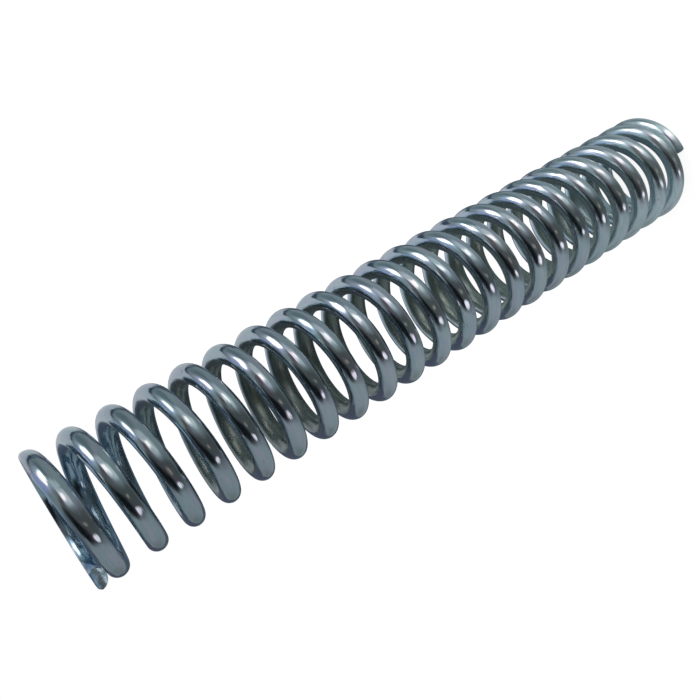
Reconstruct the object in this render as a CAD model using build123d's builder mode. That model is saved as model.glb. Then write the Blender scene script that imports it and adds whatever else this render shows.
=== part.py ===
from build123d import *

import os
from math import cos, pi, radians, sin, sqrt

os.makedirs("parts", exist_ok=True)

# Throttle rod spring: one length of round spring wire, coiled right-handed on a mandrel,
# with each end closed down onto the next turn and ground flat. It stands on its lower
# ground face, which lies on the XY plane, with the coil's axis on Z. Sizes are in
# millimetres. A place along the wire is its number of turns from the lower tip.

free_length = 78.0
outer_diameter = 12.7
wire_diameter = 1.83
total_turns = 22.8
closed_turns = 0.25
tip_gap = 0.04
ground_depth = 0.73
tip_rounding = 0.9
edge_rounding = 0.6
edge_width = 0.31
edge_clearance = 0.05
lower_tip_angle = -90.0
easing_points = 10

# Each end has closed_turns with no rise at all, then a stretch in which the pitch eases
# up to the body's. The stretch is as long as it takes to bring the wire up, one turn on
# from the tip, by its own diameter and the tip's gap. The rise of two such ends, less
# what grinding takes off, leaves the rest of the free length to the body's turns.
mean_radius = (outer_diameter - wire_diameter) / 2
tip_rise = wire_diameter + tip_gap
centre_height = free_length - wire_diameter + 2 * ground_depth
body_pitch = (centre_height - 2 * tip_rise) / (total_turns - 2)
easing_turns = 2 * (1 - closed_turns - tip_rise / body_pitch)
end_turns = closed_turns + easing_turns
body_turns = total_turns - 2 * end_turns
first_centre_z = wire_diameter / 2 - ground_depth

# Tumbling rounds off the outer edge of each ground face. The round starts edge_width in from
# the outside of the coil, and its arc ends edge_clearance beyond it, above the ground face.
outer_radius = outer_diameter / 2
round_radius = outer_radius + edge_clearance - edge_rounding
round_height = sqrt(edge_rounding**2 - (outer_radius - edge_width - round_radius) ** 2)


def turns_from_tip(turn):
    """Turns to the nearer tip, because both ends are wound alike."""
    return min(turn, total_turns - turn)


def pitch_at(turn):
    """Rise per turn: 3u^2 - 2u^3 of the body's, where u runs from 0 to 1 over the easing."""
    u = min(max((turns_from_tip(turn) - closed_turns) / easing_turns, 0), 1)
    return body_pitch * (3 * u**2 - 2 * u**3)


def rise_at(turn):
    """Height that the wire has gained since the nearer tip: the integral of the pitch."""
    eased = turns_from_tip(turn) - closed_turns
    u = min(max(eased / easing_turns, 0), 1)
    return body_pitch * (easing_turns * (u**3 - u**4 / 2) + max(eased - easing_turns, 0))


def angle_at(turn):
    """Direction of the wire from the axis, in degrees, seen from above."""
    return lower_tip_angle + 360 * turn


def centre_at(turn):
    """Point on the wire's centre line."""
    angle = radians(angle_at(turn))
    climbed = rise_at(turn)
    if turn > total_turns / 2:
        climbed = centre_height - climbed
    return Vector(mean_radius * cos(angle), mean_radius * sin(angle), first_centre_z + climbed)


def direction_at(turn):
    """Direction of the centre line: once around for each pitch upward."""
    angle = radians(angle_at(turn))
    around = 2 * pi * mean_radius
    return Vector(-around * sin(angle), around * cos(angle), pitch_at(turn))


def closed_stretch(first_turn):
    """The flat arc of a closed end."""
    middle = (0, 0, centre_at(first_turn).Z)
    return CenterArc(middle, mean_radius, angle_at(first_turn), 360 * closed_turns)


def easing_stretch(first_turn):
    """The stretch of changing pitch, through points of the formula above."""
    turns = [first_turn + easing_turns * i / easing_points for i in range(easing_points + 1)]
    return Spline(
        [centre_at(turn) for turn in turns],
        tangents=[direction_at(turn) for turn in turns],
        tangent_scalars=[1.0] * len(turns),
    )


def body_stretch(first_turn, turns):
    """Part of the evenly wound body."""
    base = Pos(0, 0, centre_at(first_turn).Z) * Rot(0, 0, angle_at(first_turn))
    return base * Helix(body_pitch, body_pitch * turns, mean_radius)


# The wire's centre line, from the lower tip to the upper one. The body is wound in equal
# stretches of about a turn, which stay separate so that no face is longer than that.
stretches = round(body_turns)
stretch_turns = body_turns / stretches
body = [body_stretch(end_turns + i * stretch_turns, stretch_turns) for i in range(stretches)]
lower_end = [closed_stretch(0), easing_stretch(closed_turns)]
upper_end = [easing_stretch(total_turns - end_turns), closed_stretch(total_turns - closed_turns)]
centre_line = Wire(lower_end + body + upper_end)

with BuildPart() as coil_spring:
    with BuildSketch(Plane(origin=centre_at(0), z_dir=direction_at(0))):
        Circle(wire_diameter / 2)
    sweep(path=centre_line, is_frenet=True)

    # Both ends are ground flat, square to the axis, from the tip round to where the wire
    # has climbed clear of the wheel
    split(bisect_by=Plane.XY, keep=Keep.TOP)
    split(bisect_by=Plane.XY.offset(free_length), keep=Keep.BOTTOM)

    # The straight edge where each ground face meets the sheared end of the wire
    fillet(coil_spring.edges().filter_by(GeomType.LINE), tip_rounding)

    # The outer edges of the ground faces, cut by a ring with a hollow corner at each end
    with BuildSketch(Plane.XZ):
        for height, align in ((round_height, Align.MAX), (free_length - round_height, Align.MIN)):
            with Locations((round_radius, height)):
                Rectangle(outer_diameter, edge_rounding, align=(Align.MIN, align))
                Circle(edge_rounding, mode=Mode.SUBTRACT)
    revolve(axis=Axis.Z, mode=Mode.SUBTRACT)

coil_spring.part.label = "coil_spring"
export_step(coil_spring.part, "parts/coil_spring.step")
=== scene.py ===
import math

import bpy
import numpy as np
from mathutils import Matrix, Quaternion, Vector


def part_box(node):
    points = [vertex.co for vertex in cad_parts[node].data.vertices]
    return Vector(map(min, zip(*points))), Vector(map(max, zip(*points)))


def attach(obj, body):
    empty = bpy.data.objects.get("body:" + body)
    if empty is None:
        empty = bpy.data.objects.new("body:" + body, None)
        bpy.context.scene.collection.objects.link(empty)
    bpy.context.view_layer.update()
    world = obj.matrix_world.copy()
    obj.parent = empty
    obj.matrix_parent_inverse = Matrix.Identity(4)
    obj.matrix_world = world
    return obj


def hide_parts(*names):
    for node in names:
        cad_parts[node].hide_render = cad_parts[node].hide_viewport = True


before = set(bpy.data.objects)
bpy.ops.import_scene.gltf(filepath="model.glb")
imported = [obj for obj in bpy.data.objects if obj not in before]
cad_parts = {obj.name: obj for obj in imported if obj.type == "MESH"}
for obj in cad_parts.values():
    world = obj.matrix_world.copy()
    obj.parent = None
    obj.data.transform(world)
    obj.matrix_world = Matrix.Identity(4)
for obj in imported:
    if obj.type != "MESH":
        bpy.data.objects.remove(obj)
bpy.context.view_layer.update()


# The coil: one length of round steel spring wire, wound right-handed on a mandrel, with its
# ends closed down and ground flat. Its surface is a round section carried along the wire's
# centre line. Lengths are in metres, and a place along the wire is in turns from the lower tip.

wire_diameter = 0.00183
total_turns = 22.8
closed_turns = 0.25
tip_gap = 0.00004
ground_depth = 0.00073
tip_rounding = 0.0009
edge_rounding = 0.0006
edge_width = 0.00031
edge_clearance = 0.00005
scraped_width = 0.00019
scraped_rounding = 0.0012
scraped_tilt = math.radians(35)
lower_tip_angle = math.radians(-90)
rows_per_turn = 92
tip_rows = 12
section_points = 44
cut_samples = 720
tip_rings = 5
sharp_angle = math.radians(35)

low_corner, high_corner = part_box("coil_spring")
free_length = high_corner[2]
outer_radius = (high_corner[0] - low_corner[0]) / 2
wire_radius = wire_diameter / 2
mean_radius = outer_radius - wire_radius
inner_radius = mean_radius - wire_radius

# Each end lies flat for closed_turns, and then its pitch eases up to the body's, over as many
# turns as bring the wire tip_gap clear of its own tip one turn on
tip_rise = wire_diameter + tip_gap
centre_height = free_length - wire_diameter + 2 * ground_depth
body_pitch = (centre_height - 2 * tip_rise) / (total_turns - 2)
easing_turns = 2 * (1 - closed_turns - tip_rise / body_pitch)

# The rounds of a ground face: the outer one starts edge_width in from the coil's outside and
# ends edge_clearance beyond it. The scraped one starts scraped_width in from the inside, and
# leans scraped_tilt from upright there.
round_radius = outer_radius + edge_clearance - edge_rounding
round_height = math.sqrt(edge_rounding**2 - (outer_radius - edge_width - round_radius) ** 2)
scraped_radius = inner_radius + scraped_width + scraped_rounding * math.cos(scraped_tilt)
scraped_height = scraped_rounding * math.sin(scraped_tilt)


def wire_rise(turn):
    """Height gained since the nearer tip, and the pitch there.

    The pitch is the body's times 3u^2 - 2u^3, where u runs from 0 to 1 over the easing,
    and the rise is its integral.
    """
    eased = np.minimum(turn, total_turns - turn) - closed_turns
    u = np.clip(eased / easing_turns, 0, 1)
    rise = easing_turns * (u**3 - u**4 / 2) + np.maximum(eased - easing_turns, 0)
    return body_pitch * rise, body_pitch * (3 * u**2 - 2 * u**3)


def wire_frame(turn):
    """Centre of the wire at each place, with its outward and upward unit directions.

    The centre is mean_radius times (cos, sin) of the turned angle, at the height gained since
    the lower tip. Outward points away from the coil's axis. Along is once around for each
    pitch upward, and upward is square to both.
    """
    angle = lower_tip_angle + 2 * np.pi * turn
    rise, pitch = wire_rise(turn)
    climbed = np.where(turn > total_turns / 2, centre_height - rise, rise)
    outward = np.stack([np.cos(angle), np.sin(angle), np.zeros_like(angle)], axis=1)
    centre = mean_radius * outward
    centre[:, 2] = wire_radius - ground_depth + climbed
    around = 2 * np.pi * mean_radius
    along = np.stack([-around * np.sin(angle), around * np.cos(angle), pitch], axis=1)
    along /= np.linalg.norm(along, axis=1, keepdims=True)
    return centre, outward, np.cross(outward, along)


def ground_height(radius, turns_from_tip):
    """Height of an end's ground surface over its plane, at a distance from the axis.

    It is 0 except on three rounds, each a circle's lower side: its centre's height less the
    root of its radius squared less the distance past its centre squared. They lie at the
    tip, at the outer edge, and at the inner edge, where scraping left a steep one.
    """
    from_tip = radius * np.sin(2 * np.pi * np.minimum(turns_from_tip, 1 / 4))
    short = np.clip(tip_rounding - from_tip, 0, tip_rounding)
    tip = tip_rounding - np.sqrt(tip_rounding**2 - short**2)
    past = np.clip(radius - round_radius, 0, edge_rounding)
    outer = round_height - np.sqrt(edge_rounding**2 - past**2)
    past = np.clip(scraped_radius - radius, 0, scraped_rounding)
    inner = scraped_height - np.sqrt(scraped_rounding**2 - past**2)
    return np.maximum(np.maximum(tip, 0), np.maximum(outer, inner))


def wire_surface(turn):
    """Points of the section at each place along the wire, and their place in straight wire.

    A point is the centre plus wire_radius times (cos a outward + sin a upward), for equal
    steps of a. An end's ground face cuts that circle at a first and a last angle, counted
    from the side away from the face. The points between the two lie on the face instead:
    their radius goes from one cut to the other as half a cosine wave, and their height is the
    face's. In straight wire a point is at (arc length, outward offset, upward offset).
    """
    centre, outward, upward = wire_frame(turn)
    number = np.arange(section_points)
    step = 2 * np.pi / section_points
    across = np.tile(np.cos(2 * np.pi * number / section_points), (len(turn), 1))
    over = np.tile(np.sin(2 * np.pi * number / section_points), (len(turn), 1))
    for side, end_turns in ((1, turn), (-1, total_turns - turn)):
        level = centre[:, 2] if side == 1 else free_length - centre[:, 2]
        angle = side * np.pi / 2 + np.linspace(0, 2 * np.pi, cut_samples)
        radius = mean_radius + wire_radius * np.cos(angle)
        height = level[:, None] + side * wire_radius * np.sin(angle)
        cut = height < ground_height(radius[None], end_turns[:, None])
        rows = np.flatnonzero(cut.any(axis=1))
        first = angle[np.argmax(cut[rows], axis=1)][:, None]
        last = angle[cut_samples - 1 - np.argmax(cut[rows][:, ::-1], axis=1)][:, None]
        order = (number - side * section_points // 4) % section_points
        low = np.round((first - angle[0]) / step)
        high = np.maximum(np.round((last - angle[0]) / step), low + 1)
        for edge, edge_number in ((first, low), (last, high)):
            here = order == edge_number
            across[rows] = np.where(here, np.cos(edge), across[rows])
            over[rows] = np.where(here, np.sin(edge), over[rows])
        between = (order > low) & (order < high)
        share = np.clip((order - low) / (high - low), 0, 1)
        wave = (1 - np.cos(np.pi * share)) / 2
        flat_across = np.cos(first) + (np.cos(last) - np.cos(first)) * wave
        across[rows] = np.where(between, flat_across, across[rows])
        face = ground_height(mean_radius + wire_radius * across[rows], end_turns[rows, None])
        flat_over = side * (face - level[rows, None]) / wire_radius
        over[rows] = np.where(between, flat_over, over[rows])
    offset = across[..., None] * outward[:, None] + over[..., None] * upward[:, None]
    arc = np.broadcast_to((2 * np.pi * mean_radius * turn)[:, None], across.shape)
    straight = np.stack([arc, wire_radius * across, wire_radius * over], axis=-1)
    return centre[:, None] + wire_radius * offset, straight


def closing_rings(outline):
    """Rings from a closed outline in to its middle, and the middle, as one list of points.

    Each ring is the outline moved an equal share further toward the middle of its box.
    """
    share = (np.arange(1, tip_rings) / tip_rings)[:, None, None]
    middle = (outline.max(axis=0) + outline.min(axis=0)) / 2
    return np.concatenate([(outline + share * (middle - outline)).reshape(-1, 3), middle[None]])


def between_rings(first_ring, second_ring):
    """Quads between rings of vertex numbers: a vertex, the next, and those opposite them."""
    next_first, next_second = np.roll(first_ring, -1, -1), np.roll(second_ring, -1, -1)
    quads = np.stack([first_ring, next_first, next_second, second_ring], axis=-1)
    return quads.reshape(-1, 4)


# Over the round at each tip the rows lie closer together toward the tip: their distances
# from it go as 1 - cos over a quarter circle. The others are evenly spaced.
quarter_circle = np.linspace(0, np.pi / 2, tip_rows)
tip_places = tip_rounding / mean_radius / (2 * np.pi) * (1 - np.cos(quarter_circle))
even_rows = round(total_turns * rows_per_turn)
even_places = np.linspace(tip_places[-1], total_turns - tip_places[-1], even_rows)
far_places = total_turns - tip_places[-2::-1]
points, straight = wire_surface(np.concatenate([tip_places[:-1], even_places, far_places]))

# The grid's quads, then the sheared face at each tip, closed by rings and a fan of triangles.
# At the lower tip their corners run the other way round, so that all faces point outwards.
grid = np.arange(points.shape[0] * section_points).reshape(-1, section_points)
vertices, straightened = [points.reshape(-1, 3)], [straight.reshape(-1, 3)]
quads, triangles = [between_rings(grid[:-1], grid[1:])], []
count = grid.size
ring_size = (tip_rings - 1) * section_points
for row, order in ((0, -1), (-1, 1)):
    vertices.append(closing_rings(points[row]))
    straightened.append(closing_rings(straight[row]))
    rings = np.arange(count, count + ring_size).reshape(-1, section_points)
    rings = np.concatenate([grid[row][None], rings])
    count += ring_size + 1
    quads.append(between_rings(rings[:-1], rings[1:])[:, ::order])
    hub = np.full(section_points, count - 1)
    triangles.append(np.stack([rings[-1], np.roll(rings[-1], -1), hub], axis=1)[:, ::order])

mesh = bpy.data.meshes.new("spring_coil")
faces = [*np.concatenate(quads).tolist(), *np.concatenate(triangles).tolist()]
mesh.from_pydata(np.concatenate(vertices), [], faces)
mesh.attributes.new("straightened", "FLOAT_VECTOR", "POINT")
mesh.attributes["straightened"].data.foreach_set("vector", np.concatenate(straightened).ravel())
mesh.polygons.foreach_set("use_smooth", np.ones(len(mesh.polygons), dtype=bool))
mesh.set_sharp_from_angle(angle=sharp_angle)
mesh.update()
coil = bpy.data.objects.new("spring_coil", mesh)
bpy.context.scene.collection.objects.link(coil)


# The coil's finish: bright zinc plate, whose faint blue passivate clouds to lilac and green.
# Drawing left it smooth outside, with fine lines, and the mandrel left it grainy inside. The
# sheared tips are a dull grey, tempered blue behind, and the wheel lined the ground faces.
# Shade inside the coil and a sheen on the lower turns are painted into its colour.

def colour(red, green, blue):
    """A colour in linear light, opaque."""
    return (red, green, blue, 1.0)


class Value:
    """A shader socket on which Python's operators add Math nodes."""

    def __init__(self, tree, socket=None):
        self.tree, self.socket = tree, socket

    def node(self, kind, settings=None, output=0, **inputs):
        """Adds a node of that kind, sets its settings, then its inputs by name or number."""
        made = self.tree.nodes.new(kind)
        for name, value in (settings or {}).items():
            setattr(made, name, value)
        for name, value in inputs.items():
            slot = made.inputs[int(name[1:]) if name[1:].isdigit() else name]
            if isinstance(value, Value):
                self.tree.links.new(value.socket, slot)
            else:
                slot.default_value = value
        return Value(self.tree, made.outputs[output])

    def maths(self, operation, *values):
        """A Math node of that operation, with these values in its inputs."""
        return self.node("ShaderNodeMath", {"operation": operation},
                         **{f"i{i}": value for i, value in enumerate(values)})

    def __add__(self, other):
        return self.maths("ADD", self, other)

    def __radd__(self, other):
        return self.maths("ADD", other, self)

    def __sub__(self, other):
        return self.maths("SUBTRACT", self, other)

    def __rsub__(self, other):
        return self.maths("SUBTRACT", other, self)

    def __mul__(self, other):
        return self.maths("MULTIPLY", self, other)

    def __rmul__(self, other):
        return self.maths("MULTIPLY", other, self)

    def __truediv__(self, other):
        return self.maths("DIVIDE", self, other)

    def __rtruediv__(self, other):
        return self.maths("DIVIDE", other, self)

    def step(self, low, high):
        """0 at low, 1 at high, smooth between them and flat outside them."""
        return self.node("ShaderNodeMapRange", {"interpolation_type": "SMOOTHSTEP"},
                         i0=self, i1=low, i2=high, i3=0.0, i4=1.0)

    def colours(self, low, high):
        """The colour low where this is 0 and high where it is 1."""
        return self.node("ShaderNodeMix", {"data_type": "RGBA"}, output=2,
                         i0=self, i6=low, i7=high)

    def along(self, direction):
        """This vector's length along a direction."""
        return self.node("ShaderNodeVectorMath", {"operation": "DOT_PRODUCT"}, output=1,
                         i0=self, i1=direction)

    def noise(self, scales, detail=2.0):
        """Noise over this place, with its own number of features to the metre on each axis."""
        stretched = self.node("ShaderNodeVectorMath", {"operation": "MULTIPLY"},
                              i0=self, i1=scales)
        return self.node("ShaderNodeTexNoise", i0=stretched, Scale=1.0, Detail=detail)


zinc_blue = colour(0.525, 0.615, 0.695)
zinc_grey = colour(0.65, 0.705, 0.73)
zinc_deep = colour(0.435, 0.505, 0.545)
# The next colour is a painted sheen, laid over the outside of the lower turns
painted_sheen_white = colour(0.77, 0.88, 0.90)
zinc_lilac = colour(0.63, 0.57, 0.70)
zinc_green = colour(0.47, 0.65, 0.62)
# The next colour is the olive of the inside, darkened with painted shade
inside_olive_and_shade = colour(0.275, 0.32, 0.295)
zinc_teal = colour(0.39, 0.53, 0.63)
zinc_pale = colour(0.68, 0.80, 0.74)
temper_blue = colour(0.09, 0.20, 0.34)
shear_grey = colour(0.42, 0.54, 0.60)
nick_grey = colour(0.30, 0.31, 0.33)
deep_share = 0.9
cloudy_share = 0.4
pale_share = 0.35
nick_share = 0.6
relief_unit = 0.00002

# Each change of finish runs between two places along the wire, the first three counted from
# the nearer tip and the next three from the lower one. The last runs between two heights
# over an end's ground plane.
sheared_turns = (0.006, 0.025)
tempered_turns = (0.09, 0.14)
teal_turns = (1.5, 4.5)
dull_and_sheen_turns = (0, 8)
pale_turns = (9, 14)
deep_turns = (10, 21)
ground_skin = (0.00001, 0.00003)

# Each of these runs between two values of a pattern, and side_band between two offsets
# toward the coil's axis, in wire radii
side_band = (-0.15, 0.35)
line_band = (0.38, 0.62)
lilac_band = (0.5, 0.66)
green_band = (0.34, 0.5)
nick_band = (0.73, 0.76)

zinc = bpy.data.materials.new("zinc_plated_wire")
zinc.use_nodes = True
tree = zinc.node_tree
shader = tree.nodes["Principled BSDF"]
start = Value(tree)

# Where each finish shows, from 0 to 1
place = start.node("ShaderNodeAttribute", {"attribute_name": "straightened"}, output=1)
from_lower = place.along((1 / (2 * math.pi * mean_radius), 0, 0))
from_ends = from_lower.maths("MINIMUM", from_lower, total_turns - from_lower)
inward = place.along((0, -1 / wire_radius, 0)).step(*side_band)
grainy = inward * from_ends.step(*teal_turns)
# The lower turns: rougher, and painted paler as a sheen
dull_and_painted_sheen = 1 - from_lower.step(*dull_and_sheen_turns)
sheared = 1 - from_ends.step(*sheared_turns)
tempered = inward * (1 - from_ends.step(*tempered_turns))
solid_place = start.node("ShaderNodeTexCoord", output=3)
height = solid_place.along((0, 0, 1))
ground = 1 - height.maths("MINIMUM", height, free_length - height).step(*ground_skin)

# Patterns, with their features to the metre along the wire, outward and upward
cloud = place.noise((260, 700, 700), 3.0)
hue = place.noise((420, 2000, 2000), 3.0)
ripple = place.noise((500, 1300, 1300), 1.0)
streak = place.noise((160, 7000, 7000))
grain = place.noise((7000, 7000, 7000), 3.0)
nick = place.noise((1500, 2600, 2600), 1.0).step(*nick_band)
lay = solid_place.noise((300, 12000, 300))

# Tints: the clean outside, the inside darkened with painted shade, and what lies over both
clean = (cloud * 0.5 + streak * 0.5).step(*line_band).colours(zinc_blue, zinc_grey)
clean = (from_lower.step(*deep_turns) * deep_share).colours(clean, zinc_deep)
# Toward the lower end the outside is painted paler, a painted sheen for the brighter
# reflections there
clean = dull_and_painted_sheen.colours(clean, painted_sheen_white)
clean = (hue.step(*lilac_band) * cloudy_share).colours(clean, zinc_lilac)
clean = ((1 - hue.step(*green_band)) * cloudy_share).colours(clean, zinc_green)
# The inside is painted darker than the outside: teal near the ends, olive in the body, paler
# toward the lower end. It is partly the zinc's own tint inside and partly painted shade between
# the turns.
inside_tint_and_shade = from_ends.step(*teal_turns).colours(zinc_teal, inside_olive_and_shade)
inside_tint_and_shade = ((1 - from_lower.step(*pale_turns)) * pale_share).colours(inside_tint_and_shade, zinc_pale)
tint = inward.colours(clean, inside_tint_and_shade)
tint = sheared.colours(tempered.colours(tint, temper_blue), shear_grey)
tint = ground.colours(tint, zinc_grey)
tint = (nick * nick_share).colours(tint, nick_grey)

# Roughness, and the height of the surface in relief_units
rough = 0.05 + inward * 0.06 + grainy * 0.2 + dull_and_painted_sheen * 0.13 + sheared * 0.17 + ground * lay * 0.2
rough = rough + (streak - 0.5) * 0.06 + cloud * 0.04
relief = (ripple - 0.5) * 9 + (streak - 0.5) * 1.4 + (grain - 0.5) * grainy * 0.7
relief = relief + ground * lay * 0.6 - nick * 0.3
bump = start.node("ShaderNodeBump", Strength=0.5, Distance=relief_unit, Height=relief)

shader.inputs["Metallic"].default_value = 1.0
tree.links.new(tint.socket, shader.inputs["Base Color"])
tree.links.new(rough.socket, shader.inputs["Roughness"])
tree.links.new(bump.socket, shader.inputs["Normal"])
coil.data.materials.append(zinc)

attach(coil, "root")
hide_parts("coil_spring")


# The camera: it looks down the coil from beyond its upper end, turned so that the coil
# runs from the lower left of the picture to the upper right.

camera_place = (0.007263, -0.064216, 0.079313)
camera_heading = math.radians(-6.746)
camera_tilt = math.radians(25.804)
camera_roll = math.radians(-121.395)

camera = bpy.data.objects.new("camera", bpy.data.cameras.new("camera"))
bpy.context.scene.collection.objects.link(camera)
looking = Vector((
    math.sin(camera_heading) * math.cos(camera_tilt),
    math.cos(camera_heading) * math.cos(camera_tilt),
    -math.sin(camera_tilt),
))
roll = Quaternion((0, 0, 1), camera_roll)
camera.location = camera_place
camera.rotation_mode = "QUATERNION"
camera.rotation_quaternion = looking.to_track_quat("-Z", "Y") @ roll
camera.data.lens = 38.082
camera.data.sensor_width = 36
camera.data.clip_start = 0.001
camera.data.clip_end = 20
bpy.context.scene.camera = camera


# The lamps: three soft round ones, which light the floor and its shadow. They are placed by
# the directions of the table that the coil lay on: its right, its near side and its up.

table_right = camera.rotation_quaternion @ Vector((1, 0, 0))
table_up = Vector((0, 0, 1)).cross(table_right).normalized()
table_near = table_right.cross(table_up)
table_middle = Vector((0, 0, free_length / 2))


def soft_lamp(name, place, size, power, tint):
    """A round area lamp facing the coil's middle, of a size in metres and a power in watts.

    Its place is so far to the right, to the near side and up from the middle, in metres.
    """
    light = bpy.data.lights.new(name, "AREA")
    light.shape, light.size, light.energy, light.color = "DISK", size, power, tint
    lamp = bpy.data.objects.new(name, light)
    bpy.context.scene.collection.objects.link(lamp)
    right, near, up = place
    offset = right * table_right + near * table_near + up * table_up
    lamp.location = table_middle + offset
    lamp.rotation_mode = "QUATERNION"
    lamp.rotation_quaternion = (-offset).to_track_quat("-Z", "Y")
    lamp.visible_camera = False
    lamp.visible_glossy = False


soft_lamp("window_lamp", (-0.111, 0.021, 0.064), 0.050, 0.06, (0.93, 0.97, 1.0))
soft_lamp("top_lamp", (-0.012, 0.040, 0.152), 0.035, 0.03, (1.0, 0.99, 0.96))
soft_lamp("side_lamp", (0.065, 0.077, 0.014), 0.020, 0.006, (0.97, 0.98, 1.0))


# The floor: a round of matt paper under the lower ground face. It glows near white to the
# camera alone, and the lamps on top of that bring it to white around the coil's shadow.

floor_radius = 0.6
floor_sides = 64
floor_glow = 0.885
floor_matt = colour(0.15, 0.15, 0.15)
white = colour(1, 1, 1)

floor_mesh = bpy.data.meshes.new("floor")
floor_turn = np.arange(floor_sides) * 2 * np.pi / floor_sides
rim = floor_radius * np.stack([np.cos(floor_turn), np.sin(floor_turn), 0 * floor_turn], 1)
floor_mesh.from_pydata(rim, [], [list(range(floor_sides))])
floor = bpy.data.objects.new("floor", floor_mesh)
bpy.context.scene.collection.objects.link(floor)
floor.visible_glossy = False
floor.visible_shadow = False

paper = bpy.data.materials.new("floor_paper")
paper.use_nodes = True
tree = paper.node_tree
tree.nodes.remove(tree.nodes["Principled BSDF"])
start = Value(tree)
seen = start.node("ShaderNodeLightPath", output=0)
glow = start.node("ShaderNodeEmission", Color=white, Strength=seen * floor_glow)
matt = start.node("ShaderNodeBsdfDiffuse", Color=floor_matt)
both = start.node("ShaderNodeAddShader", i0=glow, i1=matt)
tree.links.new(both.socket, tree.nodes["Material Output"].inputs["Surface"])
floor_mesh.materials.append(paper)


# The surroundings: white to the camera, a plain grey to matt surfaces, and to the metal the
# room that it mirrors, painted by direction from the coil in degrees: round the table from
# its near side, positive to the right, and up from the table.

below_grey = colour(0.085, 0.114, 0.148)
wall_grey = colour(0.283, 0.333, 0.354)
ceiling_grey = colour(0.575, 0.626, 0.655)
wall_foot = (-3, 5)
wall_head = (58, 70)
matt_grey = colour(0.9, 0.9, 0.9)

# Ovals, each laid over the last: round, up, half width, half height, lean, softness, colour
mirrored_patches = (
    (35, 12, 90, 44, 0, 0.22, colour(0.091, 0.099, 0.100)),  # dim side of the room
    (-95, -70, 60, 16, 0, 0.4, colour(0.085, 0.093, 0.134)),  # shade below the table's left
    (38, -80, 100, 76, 0, 0.12, colour(0.289, 0.333, 0.354)),  # table
    (48, -30, 70, 24, 0, 0.9, colour(0.330, 0.375, 0.403)),  # its paler right side
    (40, -92, 110, 26, 0, 0.5, colour(0.211, 0.246, 0.248)),  # its shade under the coil
    (-138, 36, 20, 26, 0, 0.6, colour(0.159, 0.218, 0.238)),  # wall left of the window
    (-42, 46, 22, 16, 0, 0.6, colour(0.136, 0.111, 0.121)),  # wall right of the window
    (-10, 8, 38, 19, 0, 0.5, colour(0.007, 0.010, 0.013)),  # dark middle of the near side
    (44, 34, 15, 4, 0, 0.5, colour(0.354, 0.315, 0.262)),  # faint warm light
    (-122, -22, 44, 26, 0, 0.15, colour(0.559, 0.593, 0.638)),  # table's bright left side
    (-130, 5, 26, 4.5, 0, 0.5, colour(0.054, 0.082, 0.121)),  # dark gap above it
    (-78, -18, 16, 20, 0, 0.5, colour(0.330, 0.448, 0.597)),  # window's light on the table
    (-58, 14, 7, 34, 0, 0.7, colour(0.261, 0.321, 0.320)),  # window's frame
    (-88, 37, 24, 22, 0, 0.5, colour(0.575, 0.669, 0.817)),  # glow around the window
    (-79, 10, 11, 18, -15, 0.5, colour(0.354, 0.434, 0.672)),  # glow below the window
    (-90, 38, 16.5, 14.5, 0, 0.3, colour(2.642, 2.393, 2.222)),  # window
    (49, 8, 17, 6, 0, 0.4, colour(1.282, 1.162, 1.281)),  # small lamp at the right
    (108, 70, 34, 12, 0, 0.6, colour(0.778, 0.839, 0.817)),  # lit part of the ceiling
    (-30, 72, 34, 8, 0, 0.5, colour(1.282, 1.149, 1.231)),  # ceiling light to the left
    (35, 88, 110, 12, 0, 0.35, colour(1.981, 1.795, 1.667)),  # ceiling light overhead
)

world = bpy.data.worlds.new("studio")
world.use_nodes = True
bpy.context.scene.world = world
tree = world.node_tree
start = Value(tree)
towards = start.node("ShaderNodeTexCoord", output=0)
near, right = towards.along(table_near), towards.along(table_right)
degrees_round = start.maths("ARCTAN2", right, near) * math.degrees(1)
degrees_up = start.maths("ARCSINE", towards.along(table_up)) * math.degrees(1)
sight = degrees_up.step(*wall_foot).colours(below_grey, wall_grey)
sight = degrees_up.step(*wall_head).colours(sight, ceiling_grey)
for round_to, up_to, half_width, half_height, lean, softness, patch_colour in mirrored_patches:
    aside = start.maths("WRAP", degrees_round - round_to, 180.0, -180.0)
    above = degrees_up - up_to
    cos_lean, sin_lean = math.cos(math.radians(lean)), math.sin(math.radians(lean))
    across = (aside * cos_lean + above * sin_lean) / half_width
    over = (above * cos_lean - aside * sin_lean) / half_height
    distance = start.maths("SQRT", across * across + over * over)
    sight = distance.step(1 - softness, 1 + softness).colours(patch_colour, sight)
seen = start.node("ShaderNodeLightPath", output=0)
glossy = start.node("ShaderNodeLightPath", output=3)
shown = seen.colours(glossy.colours(matt_grey, sight), white)
tree.links.new(shown.socket, tree.nodes["Background"].inputs["Color"])

bpy.context.scene.view_settings.view_transform = "Standard"
